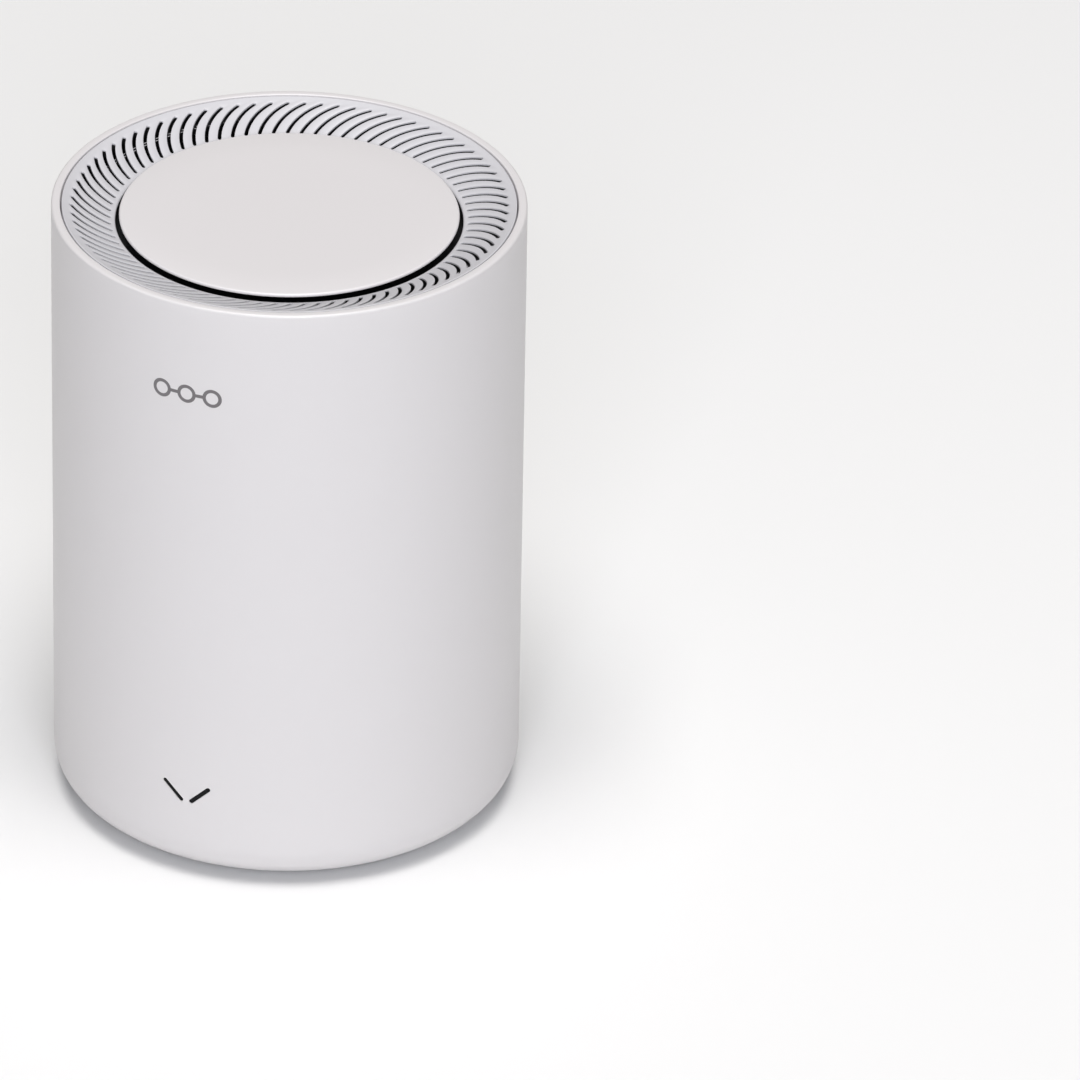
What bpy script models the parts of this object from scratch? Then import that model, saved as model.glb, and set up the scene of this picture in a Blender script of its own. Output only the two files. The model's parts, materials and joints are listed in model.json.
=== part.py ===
"""Cylindrical mesh wifi node, built as an assembly of separate solid pieces.

Frame: metres, +Z up, origin at the centre of the resting plane, front (indicator windows) towards -Y,
connectors towards +Y. Dimensions below are millimetres and every helper converts them to metres.
"""

import math

import bmesh
import bpy
from mathutils import Matrix, Vector

MM = 0.001

# Body
STEPS = 80                      # facets of the large turned pieces that show outside
INNER_STEPS = 48                # facets of the turned pieces inside and underneath
BODY_R = 55.0
WALL = 2.1
RIM_Z = 152.5
BODY_Z = 1.0                    # underside of the moulded body; the foot ring reaches down to 0
BASE_FILLET = 9.0
BASE_OPENING_R = BODY_R - BASE_FILLET
GAP = 0.3                       # clearance kept between neighbouring pieces

# Vent ring and centre disc
SEAM_R = 52.6
LIP_R = 40.2
LIP_DROP = 4.5
GRILLE_T = 1.95
SLOTS = 80
SLOT_W = 0.86
SLOT_ARC_R = 14.5               # radius of one slot's curved centreline
SLOT_ARC_CENTRE_R = 38.656      # where that curve's centre sits from the body's axis
SLOT_ARC_TURN = -17.14          # degrees it sits round from the slot's own place
SLOT_R = (41.3, 50.4)           # distances of the slot's two ends from the body's axis
RIB_R = (47.4, 48.5)            # the ring that ties the slats together underneath
RIB_Z = (147.4, 149.0)
DISC_R = 39.4
DISC_DROP = 2.9
DISC_T = 1.8
CARRIER_Z = (143.3, 144.9)

# Front indicator windows: two strokes of a wide V
LED_TOP = (5.5, 25.0)
LED_BOTTOM = (1.3, 21.0)
LED_W = 1.1

# Rear connector bay
BAY_X = 30.0
BAY_Z = (14.0, 36.0)
PANEL_Y = 44.0
PANEL_T = 2.0
PORT_Z = 25.0
WAN_X = 6.0
LAN_X = -12.0
POWER_X = 21.4
BUTTON_X = -24.2
PAIR_Z = 28.8
RESET_Z = 20.5
JACK = (16.0, 13.5)

# Main board, standing upright behind the ports
BOARD_Y = (26.4, 28.0)
BOARD_X = 37.5
BOARD_Z = (9.0, 122.0)
FRONT_MOUNT_Y = BOARD_Y[0] - GAP
REAR_MOUNT_Y = BOARD_Y[1] + GAP

# Underside
FOOT_R = (36.0, 41.0)
SCREW_R = 31.5
COVER_TOP_Z = 4.6
FRAME_Z = (4.9, 6.9)
TOP_FRAME_Z = (140.0, 143.0)


def clear_scene():
    for obj in list(bpy.data.objects):
        bpy.data.objects.remove(obj, do_unlink=True)


def collection(name):
    group = bpy.data.collections.new(name)
    bpy.context.scene.collection.children.link(group)
    return group


clear_scene()
PARTS = collection("mesh_wifi_node")
TOOLS = collection("tools")


def material(name, rgb, roughness, metallic=0.0):
    mat = bpy.data.materials.new(name)
    mat.use_nodes = True
    shader = mat.node_tree.nodes["Principled BSDF"]
    shader.inputs["Base Color"].default_value = (*rgb, 1.0)
    shader.inputs["Roughness"].default_value = roughness
    shader.inputs["Metallic"].default_value = metallic
    mat.diffuse_color = (*rgb, 1.0)
    mat.metallic = metallic
    mat.roughness = roughness
    return mat


WHITE = dict(rgb=(0.78, 0.76, 0.76), roughness=0.35)
GREY = dict(rgb=(0.62, 0.62, 0.65), roughness=0.4)
BLACK = dict(rgb=(0.012, 0.012, 0.013), roughness=0.4)
CHASSIS = dict(rgb=(0.05, 0.05, 0.055), roughness=0.6)
SMOKE = dict(rgb=(0.02, 0.02, 0.022), roughness=0.15)
RUBBER = dict(rgb=(0.06, 0.06, 0.065), roughness=0.8)
LABEL = dict(rgb=(0.8, 0.8, 0.78), roughness=0.55)
LAMINATE = dict(rgb=(0.01, 0.07, 0.03), roughness=0.45)
EPOXY = dict(rgb=(0.02, 0.02, 0.022), roughness=0.5)
PAD = dict(rgb=(0.35, 0.45, 0.6), roughness=0.8)
ALUMINIUM = dict(rgb=(0.7, 0.71, 0.72), roughness=0.4, metallic=1.0)
TIN = dict(rgb=(0.62, 0.61, 0.58), roughness=0.3, metallic=1.0)
GOLD = dict(rgb=(0.8, 0.58, 0.2), roughness=0.25, metallic=1.0)
STEEL = dict(rgb=(0.4, 0.4, 0.41), roughness=0.35, metallic=1.0)
LENS = dict(rgb=(0.75, 0.75, 0.7), roughness=0.2)
JACKET = dict(rgb=(0.03, 0.03, 0.03), roughness=0.5)


def finish(name, bm, look=None):
    """Turn a bmesh into an object: a part when it has a look, otherwise a hidden Boolean tool."""
    mesh = bpy.data.meshes.new(name)
    bm.to_mesh(mesh)
    bm.free()
    obj = bpy.data.objects.new(name, mesh)
    if look is None:
        TOOLS.objects.link(obj)
        obj.hide_render = True
        obj.display_type = "WIRE"
    else:
        PARTS.objects.link(obj)
        mesh.materials.append(material("mat_" + name, **look))
    return obj


def apply_tool(obj, tool, operation="DIFFERENCE"):
    mod = obj.modifiers.new(tool.name, "BOOLEAN")
    mod.operation = operation
    mod.solver = "EXACT"
    mod.object = tool


def add_prism(bm, outline, axis, lo, hi, matrix=None):
    """Extrude a flat outline. Axis Z takes (x, y) points, axis Y takes (x, z) points."""
    place = (lambda p, h: (p[0], p[1], h)) if axis == "Z" else (lambda p, h: (p[0], h, p[1]))
    verts = [bm.verts.new(Vector(place(p, lo)) * MM) for p in outline]
    face = bm.faces.new(verts)
    step = Vector(place((0.0, 0.0), hi - lo)) * MM
    grown = bmesh.ops.extrude_face_region(bm, geom=[face])["geom"]
    top = [g for g in grown if isinstance(g, bmesh.types.BMVert)]
    bmesh.ops.translate(bm, verts=top, vec=step)
    verts += top
    if matrix is not None:
        bmesh.ops.transform(bm, matrix=matrix, verts=verts)
    faces = {f for v in verts for f in v.link_faces}
    bmesh.ops.recalc_face_normals(bm, faces=list(faces))
    return verts


def add_box(bm, lo, hi, matrix=None):
    outline = [(lo[0], lo[1]), (hi[0], lo[1]), (hi[0], hi[1]), (lo[0], hi[1])]
    return add_prism(bm, outline, "Z", lo[2], hi[2], matrix)


def circle(cx, cy, radius, sides):
    turn = 2 * math.pi / sides
    return [(cx + radius * math.cos(turn * (i + 0.5)), cy + radius * math.sin(turn * (i + 0.5)))
            for i in range(sides)]


def box(name, lo, hi, look=None, bevel=0.0, matrix=None):
    bm = bmesh.new()
    add_box(bm, lo, hi, matrix)
    obj = finish(name, bm, look)
    if bevel:
        mod = obj.modifiers.new("Edges", "BEVEL")
        mod.width = bevel * MM
        mod.segments = 1
    return obj


def prism(name, outlines, axis, lo, hi, look=None):
    bm = bmesh.new()
    for outline in outlines:
        add_prism(bm, outline, axis, lo, hi)
    return finish(name, bm, look)


def turned(name, profile, look=None, steps=STEPS, at=(0.0, 0.0, 0.0), along_y=False):
    """Revolve (radius, height) points, listed down the outer side first, about the piece's own axis."""
    bm = bmesh.new()
    verts = [bm.verts.new((r * MM, 0.0, z * MM)) for r, z in profile]
    for a, b in zip(verts, verts[1:]):
        bm.edges.new((a, b))
    if profile[0][0] > 0:
        bm.edges.new((verts[-1], verts[0]))
    obj = finish(name, bm, look)
    mod = obj.modifiers.new("Turn", "SCREW")
    mod.axis = "Z"
    mod.steps = mod.render_steps = steps
    mod.use_merge_vertices = True
    mod.merge_threshold = 0.00001
    mod.use_smooth_shade = True
    spin = Matrix.Rotation(-math.pi / 2, 4, "X") if along_y else Matrix.Identity(4)
    obj.matrix_world = Matrix.Translation(Vector(at) * MM) @ spin
    return obj


def arc(cx, cz, radius, start, stop, count):
    """Points of a circular arc between two angles in degrees."""
    turn = [math.radians(start + (stop - start) * i / count) for i in range(count + 1)]
    return [(cx + radius * math.cos(t), cz + radius * math.sin(t)) for t in turn]


def stroke(a, b, width):
    """Outline of a straight stroke of one width between two points."""
    run = Vector((b[0] - a[0], b[1] - a[1])).normalized()
    side = Vector((-run.y, run.x)) * width / 2
    end = run * width / 2
    a, b = Vector(a) - end, Vector(b) + end
    return [tuple(a + side), tuple(a - side), tuple(b - side), tuple(b + side)]


def tube(name, points, radius, look):
    """A round lead swept along a smooth path through the points."""
    path = []
    ends = [points[0]] + points + [points[-1]]
    for a, b, c, d in zip(ends, ends[1:], ends[2:], ends[3:]):
        a, b, c, d = Vector(a), Vector(b), Vector(c), Vector(d)
        for t in (0.0, 0.5):
            path.append(0.5 * (2 * b + (c - a) * t + (2 * a - 5 * b + 4 * c - d) * t * t
                               + (3 * b - a - 3 * c + d) * t ** 3))
    path.append(Vector(points[-1]))
    curve = bpy.data.curves.new(name, "CURVE")
    curve.dimensions = "3D"
    curve.bevel_depth = radius * MM
    curve.bevel_resolution = 1
    curve.use_fill_caps = True
    curve.resolution_u = 1
    line = curve.splines.new("POLY")
    line.points.add(len(path) - 1)
    for point, co in zip(line.points, path):
        point.co = (*(co * MM), 1.0)
    source = bpy.data.objects.new(name + "_path", curve)
    PARTS.objects.link(source)
    bpy.context.view_layer.update()
    mesh = bpy.data.meshes.new_from_object(source)
    bpy.data.objects.remove(source, do_unlink=True)
    bm = bmesh.new()
    bm.from_mesh(mesh)
    bpy.data.meshes.remove(mesh)
    bmesh.ops.remove_doubles(bm, verts=bm.verts, dist=0.00001)
    bmesh.ops.recalc_face_normals(bm, faces=bm.faces)
    for face in bm.faces:
        face.smooth = True
    return finish(name, bm, look)


def ring_angles(count, start=0.0):
    return [math.radians(start + 360.0 * i / count) for i in range(count)]


# ---------------------------------------------------------------- body

def outer_shell():
    inner = BODY_R - WALL
    corner = BODY_Z + BASE_FILLET
    profile = ([(inner, RIM_Z - 0.4), (inner + 0.35, RIM_Z), (BODY_R - 0.6, RIM_Z),
                (BODY_R, RIM_Z - 0.6)]
               + arc(BASE_OPENING_R, corner, BASE_FILLET, 0, -90, 5)
               + arc(BASE_OPENING_R, corner, BASE_FILLET - WALL, -90, 0, 3))
    shell = turned("outer_shell", profile, WHITE)
    bay = box("shell_bay_opening", (-BAY_X, 30.0, BAY_Z[0]), (BAY_X, 60.0, BAY_Z[1]))
    windows = prism("shell_indicator_slots", led_strokes(LED_W), "Y", -60.0, -45.0)
    apply_tool(shell, bay)
    apply_tool(shell, windows)


def led_strokes(width):
    return [stroke((s * LED_TOP[0], LED_TOP[1]), (s * LED_BOTTOM[0], LED_BOTTOM[1]), width)
            for s in (-1, 1)]


def slot_outline(turn):
    """One curved vent slot seen from above, turned round the axis."""
    centre_r, arc_r, half = SLOT_ARC_CENTRE_R, SLOT_ARC_R, SLOT_W / 2
    base = math.degrees(turn) + SLOT_ARC_TURN
    cx, cy = centre_r * math.cos(math.radians(base)), centre_r * math.sin(math.radians(base))
    reach = centre_r ** 2 + arc_r ** 2
    start, stop = (base + math.degrees(math.acos((r * r - reach) / (2 * arc_r * centre_r))) for r in SLOT_R)
    return arc(cx, cy, arc_r + half, start, stop, 3) + arc(cx, cy, arc_r - half, stop, start, 3)


def grille_under_z(r):
    """Height of the vent ring's underside at a radius."""
    slope = LIP_DROP / (SEAM_R - LIP_R)
    return RIM_Z - LIP_DROP - GRILLE_T + (r - LIP_R) * slope


def top_grille():
    top = RIM_Z - 0.2
    lip = RIM_Z - LIP_DROP
    skirt_in = SEAM_R - 1.1
    profile = [(LIP_R, lip), (SEAM_R - 0.25, top), (SEAM_R, top - 0.25), (SEAM_R, 144.5), (skirt_in, 144.5),
               (skirt_in, grille_under_z(skirt_in)), (LIP_R, lip - GRILLE_T)]
    grille = turned("top_grille", profile, GREY, steps=STEPS // 2)
    slots = prism("grille_slots", [slot_outline(a) for a in ring_angles(SLOTS)], "Z", 145.2, RIM_Z + 2.0)
    apply_tool(grille, slots)
    rib = turned("grille_rib", [(RIB_R[0], RIB_Z[1]), (RIB_R[1], RIB_Z[1]), (RIB_R[1], RIB_Z[0]),
                                (RIB_R[0], RIB_Z[0])], steps=STEPS // 2)
    apply_tool(grille, rib, "UNION")


def top_disc():
    top = RIM_Z - DISC_DROP
    profile = [(0.0, top), (DISC_R - 0.4, top), (DISC_R, top - 0.3), (DISC_R, top - 0.7),
               (DISC_R - 3.0, top - DISC_T), (0.0, top - DISC_T)]
    turned("top_disc", profile, WHITE)


def disc_carrier():
    """Black spider under the vent ring: a seat for the disc, a floor under its edge, and open sectors."""
    seat = RIM_Z - DISC_DROP - DISC_T - GAP
    z0, z1 = CARRIER_Z
    profile = [(0.0, z1), (20.0, z1), (20.0, seat), (24.0, seat), (24.0, z1), (51.1, z1), (51.1, z0),
               (0.0, z0)]
    carrier = turned("disc_carrier", profile, BLACK, steps=INNER_STEPS)
    outlines = []
    for i in range(8):
        start, stop = 45.0 * i + 4.0, 45.0 * i + 41.0
        outlines.append(arc(0, 0, 49.6, start, stop, 4) + arc(0, 0, 43.6, stop, start, 4))
    apply_tool(carrier, prism("carrier_windows", outlines, "Z", 142.0, 146.0))


def light_guide():
    guide = box("light_guide", (-8.0, -51.8, 17.0), (8.0, -50.6, 29.0), SMOKE)
    blades = prism("guide_blades", led_strokes(LED_W - 2 * GAP), "Y", -58.0, -51.2)
    apply_tool(guide, blades, "UNION")
    limit = turned("guide_limit", [(0.0, 34.0), (54.8, 34.0), (54.8, 12.0), (0.0, 12.0)])
    apply_tool(guide, limit, "INTERSECT")


# ---------------------------------------------------------------- underside

def base_cover():
    rim = BASE_OPENING_R - GAP - 0.1
    under = BODY_Z + 0.3
    groove = (FOOT_R[0] - GAP, FOOT_R[1] + GAP, 2.4)
    profile = [(0.0, COVER_TOP_Z), (47.3, COVER_TOP_Z), (47.3, 3.8), (rim, 3.8), (rim, under),
               (groove[1], under), (groove[1], groove[2]), (groove[0], groove[2]), (groove[0], under),
               (0.0, under)]
    cover = turned("base_cover", profile, GREY, steps=INNER_STEPS)
    bm = bmesh.new()
    for a in ring_angles(20, 9.0):
        add_box(bm, (19.0, -0.9, 0.0), (27.0, 0.9, 6.0), Matrix.Rotation(a, 4, "Z"))
    for x, y in screw_places():
        add_prism(bm, circle(x, y, 3.2, 12), "Z", 0.0, 3.0)
    apply_tool(cover, finish("cover_vents", bm))
    holes = prism("cover_screw_holes", [circle(x, y, 1.75, 10) for x, y in screw_places()], "Z", 2.5, 6.0)
    apply_tool(cover, holes)
    turned("foot_ring", [(FOOT_R[0], 2.1), (FOOT_R[1], 2.1), (FOOT_R[1], 0.4), (FOOT_R[1] - 0.4, 0.0),
                         (FOOT_R[0] + 0.4, 0.0), (FOOT_R[0], 0.4)], RUBBER, steps=INNER_STEPS)
    box("rating_label", (-13.0, -8.0, 0.8), (13.0, 8.0, 1.0), LABEL)


def screw_places():
    return [(SCREW_R * math.cos(a), SCREW_R * math.sin(a)) for a in ring_angles(4, 45.0)]


def screw_profile(head_r, head_t, shaft_r, length, recess=0.0):
    """Screw with its drive face at height 0 and its tip upwards."""
    profile = [(0.0, length), (shaft_r, length), (shaft_r, head_t), (head_r, head_t), (head_r, 0.0)]
    return profile + ([(1.0, 0.0), (1.0, recess), (0.0, recess)] if recess else [(0.0, 0.0)])


def base_screws():
    names = ("rear_right", "rear_left", "front_left", "front_right")
    for name, (x, y) in zip(names, screw_places()):
        profile = screw_profile(2.7, 1.2, 1.4, 10.4, 0.6)
        turned("base_screw_" + name, profile, STEEL, steps=12, at=(x, y, 1.5))


# ---------------------------------------------------------------- chassis

def lower_frame():
    profile = [(28.0, FRAME_Z[1]), (47.5, FRAME_Z[1]), (47.5, FRAME_Z[0]), (28.0, FRAME_Z[0])]
    frame = turned("lower_frame", profile, CHASSIS, steps=INNER_STEPS)
    bm = bmesh.new()
    for x, y in screw_places():
        add_prism(bm, circle(x, y, 4.0, 12), "Z", FRAME_Z[0], 16.0)
    for side in (-1, 1):
        x = sorted((side * 8.0, side * 11.5))
        add_box(bm, (x[0], -47.2, 5.4), (x[1], -43.8, 14.7))
    apply_tool(frame, finish("frame_posts", bm), "UNION")
    bores = prism("frame_bores", [circle(x, y, 1.75, 10) for x, y in screw_places()], "Z", 4.0, 12.6)
    apply_tool(frame, bores)


def upper_frame():
    z0, z1 = TOP_FRAME_Z
    profile = [(49.9, z1), (52.3, z1), (52.3, z0), (49.9, z0)]
    frame = turned("upper_frame", profile, CHASSIS, steps=INNER_STEPS)
    apply_tool(frame, box("frame_bridge", (-43.0, 23.5, z0), (43.0, 29.0, z1)), "UNION")


def rails():
    for name, side in (("left_rail", -1), ("right_rail", 1)):
        x0, x1, slot = side * 35.0, side * 41.0, side * (BOARD_X + GAP)
        y0, y1 = BOARD_Y[0] - GAP, BOARD_Y[1] + GAP
        outline = [(x0, 24.0), (x1, 24.0), (x1, 30.5), (x0, 30.5),
                   (x0, y1), (slot, y1), (slot, y0), (x0, y0)]
        prism(name, [outline], "Z", FRAME_Z[1] + GAP, TOP_FRAME_Z[0] - GAP, CHASSIS)


# ---------------------------------------------------------------- main board

BOARD_SCREWS = [(-27.0, 52.0), (27.0, 52.0), (-27.0, 108.0), (27.0, 108.0)]


def main_board():
    low, high = (-BOARD_X, BOARD_Y[0], BOARD_Z[0]), (BOARD_X, BOARD_Y[1], BOARD_Z[1])
    board = box("main_board", low, high, LAMINATE)
    holes = prism("board_holes", [circle(x, z, 1.7, 10) for x, z in BOARD_SCREWS], "Y", 20.9, 30.0)
    apply_tool(board, holes)
    heat_sink(holes)
    names = ("lower_left", "lower_right", "upper_left", "upper_right")
    for name, (x, z) in zip(names, BOARD_SCREWS):
        screw = turned("board_screw_" + name, screw_profile(2.6, 1.4, 1.3, 8.6), STEEL, steps=10)
        spin = Matrix.Rotation(math.pi / 2, 4, "X")
        screw.matrix_world = Matrix.Translation(Vector((x, REAR_MOUNT_Y + 1.4, z)) * MM) @ spin


def heat_sink(holes):
    """Upright finned block in front of the board."""
    half, face, root, tip = 31.0, 23.2, 20.2, -6.0
    count, thick = 11, 1.4
    outline = [(half, face), (-half, face)]
    for i in range(count):
        x = -half + (2 * half - thick) * i / (count - 1)
        outline += [(x, root), (x, tip), (x + thick, tip), (x + thick, root)]
    clean = [p for i, p in enumerate(outline) if p not in ((-half, root), (half, root))]
    sink = prism("heat_sink", [clean], "Z", 46.0, 114.0, ALUMINIUM)
    apply_tool(sink, holes)


def front_chip(name, x, z, size, thick=1.5):
    half = size / 2
    box(name, (x - half, FRONT_MOUNT_Y - thick, z - half), (x + half, FRONT_MOUNT_Y, z + half), EPOXY)


def shielded_radio(band, x, z):
    """A radio chip under a pressed tin can that is open towards the board."""
    can = box("radio_shield_" + band, (x - 9.0, 23.6, z - 9.0), (x + 9.0, FRONT_MOUNT_Y, z + 9.0), TIN)
    apply_tool(can, box("shield_hollow_" + band, (x - 8.6, 24.0, z - 8.6), (x + 8.6, 27.0, z + 8.6)))
    front_chip("radio_chip_" + band, x, z, 9.0, 1.1)


def board_parts():
    front_chip("processor_chip", -8.0, 72.0, 17.0)
    box("processor_thermal_pad", (-16.0, 23.5, 64.0), (0.0, 24.3, 80.0), PAD)
    front_chip("memory_chip", 14.0, 72.0, 11.0, 1.1)
    front_chip("flash_chip", 14.0, 56.0, 8.0, 1.0)
    front_chip("ethernet_switch_chip", -4.0, 30.0, 12.0, 1.2)
    shielded_radio("2g", -16.0, 98.0)
    shielded_radio("5g", 16.0, 98.0)
    for name, x in (("wan_transformer", WAN_X), ("lan_transformer", LAN_X)):
        box(name, (x - 6.4, REAR_MOUNT_Y, 37.0), (x + 6.4, REAR_MOUNT_Y + 6.0, 47.0), EPOXY, bevel=0.4)
    box("power_inductor", (17.0, REAR_MOUNT_Y, 37.0), (27.0, REAR_MOUNT_Y + 4.5, 47.0), EPOXY, bevel=0.8)
    can = [(0.0, 9.0), (3.6, 9.0), (4.0, 8.6), (4.0, 0.0), (0.0, 0.0)]
    turned("bulk_capacitor", can, ALUMINIUM, steps=16, at=(22.0, REAR_MOUNT_Y, 63.0), along_y=True)


# ---------------------------------------------------------------- connectors

def rear_io_panel():
    x, z0, z1 = BAY_X - GAP, BAY_Z[0] + GAP, BAY_Z[1] - GAP
    panel = box("rear_io_panel", (-x, PANEL_Y - PANEL_T, z0), (x, 60.0, z1), GREY)
    wall = 1.6
    bm = bmesh.new()
    add_box(bm, (-x + wall, PANEL_Y, z0 + wall), (x - wall, 62.0, z1 - wall))
    apply_tool(panel, finish("panel_recess", bm))
    limit = turned("panel_limit", [(0.0, 40.0), (54.6, 40.0), (54.6, 10.0), (0.0, 10.0)])
    apply_tool(panel, limit, "INTERSECT")
    bm = bmesh.new()
    for cx in (WAN_X, LAN_X):
        add_box(bm, (cx - JACK[0] / 2 - GAP, 40.0, PORT_Z - JACK[1] / 2 - GAP),
                (cx + JACK[0] / 2 + GAP, 46.0, PORT_Z + JACK[1] / 2 + GAP))
    add_box(bm, (POWER_X - 4.8, 40.0, PORT_Z - 5.8), (POWER_X + 4.8, 46.0, PORT_Z + 5.8))
    add_prism(bm, circle(BUTTON_X, PAIR_Z, 2.7, 20), "Y", 40.0, 46.0)
    add_prism(bm, circle(BUTTON_X, RESET_Z, 0.8, 10), "Y", 40.0, 46.0)
    apply_tool(panel, finish("panel_holes", bm))


def network_jack(name, x):
    """Modular socket facing +Y with its latch side down, and its row of eight contacts."""
    front, back = PANEL_Y - 0.2, REAR_MOUNT_Y
    half, high = JACK[0] / 2, JACK[1] / 2
    low, top = (x - half, back, PORT_Z - high), (x + half, front, PORT_Z + high)
    jack = box(name + "_jack", low, top, TIN)
    mouth = [(5.9, -2.6), (5.9, 4.6), (-5.9, 4.6), (-5.9, -2.6), (-3.2, -2.6), (-3.2, -4.2), (-1.9, -4.2),
             (-1.9, -5.6), (1.9, -5.6), (1.9, -4.2), (3.2, -4.2), (3.2, -2.6)]
    outline = [(x + u, PORT_Z + v) for u, v in mouth]
    apply_tool(jack, prism(name + "_mouth", [outline], "Y", front - 12.0, front + 2.0))
    comb = [(x + 4.6, front - 11.7), (x + 4.6, front - 10.2)]
    for i in range(8):
        cx = x + 1.02 * (3.5 - i)
        comb += [(cx + 0.25, front - 10.2), (cx + 0.25, front - 4.0), (cx - 0.25, front - 4.0),
                 (cx - 0.25, front - 10.2)]
    comb += [(x - 4.6, front - 10.2), (x - 4.6, front - 11.7)]
    prism(name + "_contacts", [comb], "Z", PORT_Z + 3.6, PORT_Z + 4.1, GOLD)


def power_inlet():
    front = PANEL_Y - 0.2
    jack = box("dc_power_jack", (POWER_X - 4.5, REAR_MOUNT_Y, PORT_Z - 5.5),
               (POWER_X + 4.5, front, PORT_Z + 5.5), BLACK)
    barrel = prism("power_barrel", [circle(POWER_X, PORT_Z, 3.15, 20)], "Y", front - 9.5, front + 2.0)
    socket = prism("power_pin_bore", [circle(POWER_X, PORT_Z, 1.3, 12)], "Y", front - 11.5, front - 9.0)
    apply_tool(jack, barrel)
    apply_tool(jack, socket)
    pin = [(0.0, 10.6), (0.6, 10.6), (1.0, 10.1), (1.0, 0.0), (0.0, 0.0)]
    turned("dc_centre_pin", pin, TIN, steps=12, at=(POWER_X, front - 11.2, PORT_Z), along_y=True)


def push_switch(name, z, size, height, bore, plunger):
    """Board switch with a blind bore towards +Y and the plunger that slides in it."""
    face = REAR_MOUNT_Y + height
    body = box(name + "_switch", (BUTTON_X - size / 2, REAR_MOUNT_Y, z - size / 2),
               (BUTTON_X + size / 2, face, z + size / 2), EPOXY)
    opening = circle(BUTTON_X, z, bore, 12)
    apply_tool(body, prism(name + "_switch_bore", [opening], "Y", REAR_MOUNT_Y + 1.0, face + 1.0))
    start, length, radius = plunger
    profile = [(0.0, length), (radius - 0.2, length), (radius, length - 0.2), (radius, 0.0), (0.0, 0.0)]
    turned(name + "_switch_plunger", profile, BLACK, steps=12, at=(BUTTON_X, start, z), along_y=True)


def buttons():
    push_switch("pair", PAIR_Z, 6.0, 3.5, 1.9, (REAR_MOUNT_Y + 1.9, 5.0, 1.6))
    push_switch("reset", RESET_Z, 4.4, 3.0, 1.3, (REAR_MOUNT_Y + 1.7, 4.6, 1.0))
    start = REAR_MOUNT_Y + 1.9 + 5.0 + GAP
    face = PANEL_Y + 1.4 - start
    flange = PANEL_Y - PANEL_T - GAP - start
    turned("pair_button_cap", [(0.0, face), (2.1, face), (2.4, face - 0.3), (2.4, flange), (3.6, flange),
                               (3.6, flange - 1.4), (2.0, flange - 1.4), (2.0, 0.0), (0.0, 0.0)],
           GREY, steps=20, at=(BUTTON_X, start, PAIR_Z), along_y=True)


# ---------------------------------------------------------------- indicators and antennas

def indicators():
    box("led_board", (-12.0, -46.2, 15.0), (12.0, -45.0, 31.0), LAMINATE)
    for name, x in (("status_led_left", -4.0), ("status_led_right", 4.0)):
        box(name, (x - 1.5, -47.7, 22.0), (x + 1.5, -46.5, 24.0), LENS)
    tube("led_cable", [(0.0, -44.7, 20.0), (0.0, -41.0, 19.6), (0.0, -30.0, 17.2), (-3.0, 0.0, 16.2),
                       (-10.0, 18.0, 16.6), (-12.0, 23.0, 17.0), (-12.0, FRONT_MOUNT_Y, 17.0)],
         0.9, JACKET)


def antennas():
    leads = {
        "outer": [(46.1, -21.5, 94.6), (46.6, -20.0, 86.0), (46.5, -2.0, 64.0), (41.5, 13.0, 47.0),
                  (34.0, 20.0, 39.0), (32.5, 23.5, 38.0), (32.5, FRONT_MOUNT_Y, 38.0)],
        "inner": [(21.5, -46.1, 94.6), (25.5, -43.5, 84.0), (40.0, -24.0, 60.0), (42.0, -4.0, 43.0),
                  (35.0, 13.0, 32.0), (28.5, 21.0, 28.5), (28.0, FRONT_MOUNT_Y, 28.0)],
    }
    for side, sign in (("left", -1), ("right", 1)):
        for place, turn in (("inner", 65.0), ("outer", 25.0)):
            spin = Matrix.Rotation(math.radians(-turn if sign > 0 else turn - 180.0), 4, "Z")
            high = (51.3, 6.0, TOP_FRAME_Z[0] - GAP)
            box(f"antenna_{side}_{place}", (50.5, -6.0, 95.0), high, TIN, matrix=spin)
            path = [(sign * x, y, z) for x, y, z in leads[place]]
            tube(f"antenna_lead_{side}_{place}", path, 0.6, JACKET)


outer_shell()
top_grille()
top_disc()
disc_carrier()
light_guide()
base_cover()
base_screws()
lower_frame()
upper_frame()
rails()
main_board()
board_parts()
rear_io_panel()
network_jack("wan", WAN_X)
network_jack("lan", LAN_X)
power_inlet()
buttons()
indicators()
antennas()
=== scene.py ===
"""Looks of a cylindrical mesh wifi node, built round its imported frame.

Sizes in the code are in millimetres unless a property or a call says otherwise.
"""

import json
import math

import bmesh
import bpy
from mathutils import Matrix, Vector


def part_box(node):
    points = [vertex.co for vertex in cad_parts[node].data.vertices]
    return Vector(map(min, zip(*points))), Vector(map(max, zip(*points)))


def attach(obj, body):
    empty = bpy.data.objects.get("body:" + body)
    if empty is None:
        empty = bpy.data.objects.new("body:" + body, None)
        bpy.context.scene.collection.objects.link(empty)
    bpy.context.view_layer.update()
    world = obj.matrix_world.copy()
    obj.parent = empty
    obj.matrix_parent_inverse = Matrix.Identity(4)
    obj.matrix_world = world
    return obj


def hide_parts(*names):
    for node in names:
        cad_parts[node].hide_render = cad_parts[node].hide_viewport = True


bl_info = {
    "name": "Mesh wifi node",
    "version": (1, 0, 0),
    "blender": (4, 5, 0),
    "location": "View3D > Sidebar > Wifi node",
    "description": "Builds the visible pieces, finishes and studio of a mesh wifi node",
    "category": "Object",
}

MM = 0.001

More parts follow.
